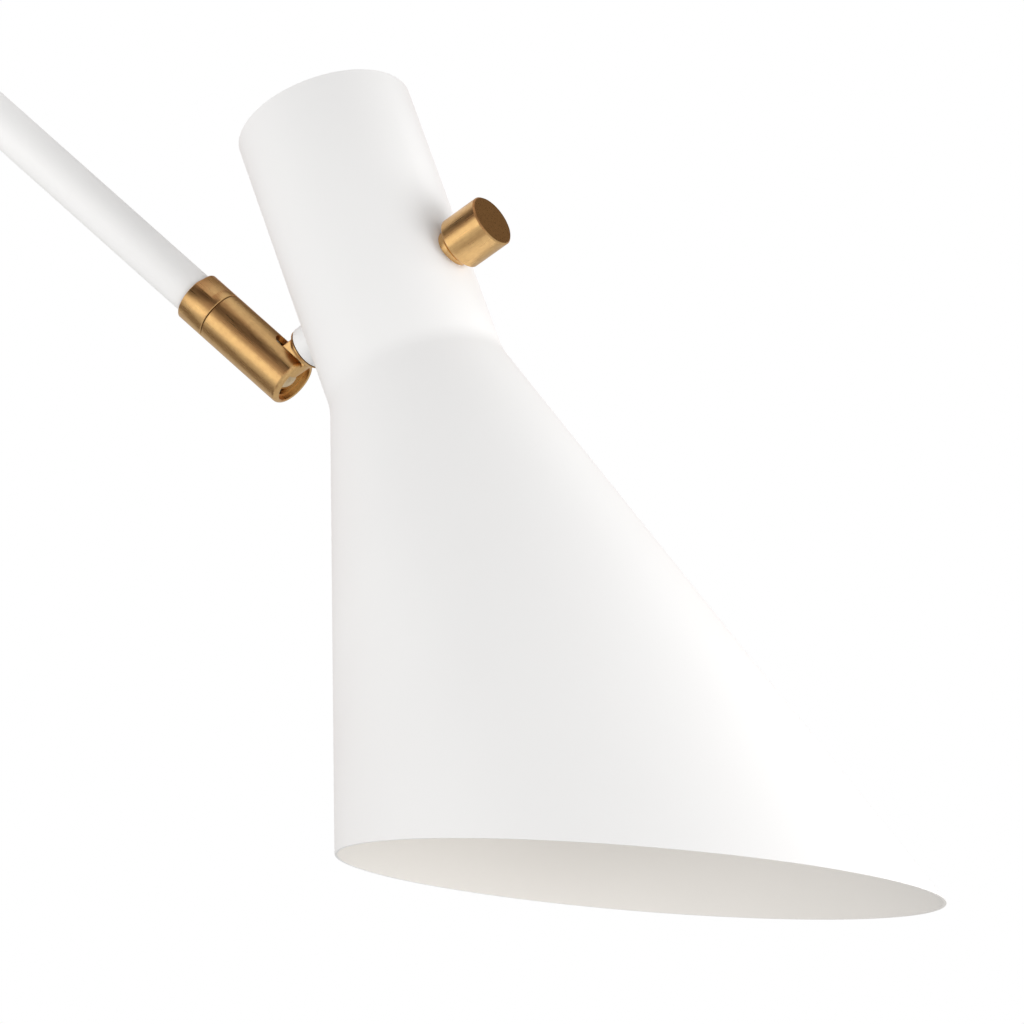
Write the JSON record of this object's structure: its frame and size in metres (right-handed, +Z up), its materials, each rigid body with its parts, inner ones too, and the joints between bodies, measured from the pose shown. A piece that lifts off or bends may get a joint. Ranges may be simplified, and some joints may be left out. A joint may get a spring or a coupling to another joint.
{
  "type": "adjustable arm floor lamp",
  "caption": "Floor lamp with a round weighted foot, slim pole, counterweighted tilting arm and a white oblique-cut cone shade on a slotted brass ball knuckle, with a brass switch knob.",
  "frame": {"origin": "centre of the foot's underside, on the floor", "axes": "+Z up the pole; +X the way the arm points at rest; the arm runs beside the pole on -Y"},
  "size_m": [0.9856, 0.3386, 1.7896],
  "materials": {
    "white_paint": "satin white powder coat on steel",
    "white_shade": "satin white powder coat on spun aluminium",
    "brass": "fine brushed antique brass, lacquered",
    "steel": "zinc-plated steel",
    "cast_iron": "rough cast, black dipped",
    "rubber": "matt black rubber",
    "nylon": "natural nylon",
    "phenolic": "black phenolic",
    "bulb_metal": "rolled thread, bright",
    "opal_glass": "opal glass"
  },
  "bodies": {
    "stand": {"base_pad": "rubber", "base_weight": "cast_iron", "base_cover": "white_paint", "cord_gland": "rubber", "base_washer": "steel", "base_nut": "steel", "tie_rod": "steel", "pole_foot": "brass", "pole_plug": "steel", "lower_pole": "white_paint", "pole_coupler": "brass", "upper_pole": "white_paint", "pole_top_socket": "brass", "spindle_nut": "steel", "swivel_washer": "nylon"},
    "swivel": {"swivel_head": "brass", "swivel_cap": "brass"},
    "arm": {"friction_washer": "nylon", "arm_clamp": "brass", "clamp_screw": "steel", "pivot_bolt": "steel", "arm_tube": "white_paint", "counterweight": "brass", "counterweight_screw": "steel", "arm_plug": "steel", "swivel_nipple": "steel", "nipple_nut": "steel", "arm_collar": "brass"},
    "clamp_knob": {"clamp_knob": "brass"},
    "barrel": {"swivel_barrel": "brass", "ball_seat": "nylon", "seat_spring": "steel"},
    "stud": {"ball_stud": "brass", "stud_flange": "brass"},
    "head": {"shade": "white_shade", "vent_cap": "white_shade", "boss": "white_shade", "boss_backing": "steel", "lampholder_bracket": "steel", "boss_nut": "steel", "lampholder_nipple": "steel", "nipple_lock_nut": "steel", "lampholder_cap": "phenolic", "lampholder_shell": "phenolic", "switch_core": "phenolic", "centre_contact": "brass", "screw_shell": "brass", "bulb_cap": "bulb_metal", "bulb_glass": "opal_glass", "switch_bushing": "brass"},
    "switch_knob": {"switch_shaft": "steel", "switch_knob": "brass", "knob_set_screw": "steel"}
  },
  "joints": [
    {"name": "arm_swing", "type": "hinge", "parent": "stand", "child": "swivel", "pos_m": [0, 0, 1.6], "axis": [0, 0, 1], "range_deg": [-170, 170]},
    {"name": "arm_tilt", "type": "hinge", "parent": "swivel", "child": "arm", "pos_m": [0, -0.034, 1.6], "axis": [0, 1, 0], "range_deg": [-52, 15]},
    {"name": "clamp_knob_turn", "type": "hinge", "parent": "arm", "child": "clamp_knob", "pos_m": [0, 0.028, 1.6], "axis": [0, 1, 0], "range_deg": [0, 180]},
    {"name": "barrel_swivel", "type": "hinge", "parent": "arm", "child": "barrel", "pos_m": [0.51897, -0.034, 1.13025], "axis": [0.7414, 0, -0.6711], "range_deg": [-170, 170]},
    {"name": "head_tilt", "type": "hinge", "parent": "barrel", "child": "stud", "pos_m": [0.51897, -0.034, 1.13025], "axis": [0.1932, 0.9577, 0.2134], "range_deg": [-20, 69]},
    {"name": "head_turn", "type": "hinge", "parent": "stud", "child": "head", "pos_m": [0.51897, -0.034, 1.13025], "axis": [0.8652, -0.2689, 0.4233], "range_deg": [-75, 75]},
    {"name": "switch_turn", "type": "hinge", "parent": "head", "child": "switch_knob", "pos_m": [0.59509, -0.05774, 1.16607], "axis": [0.8652, -0.2689, 0.4233], "continuous": true}
  ]
}
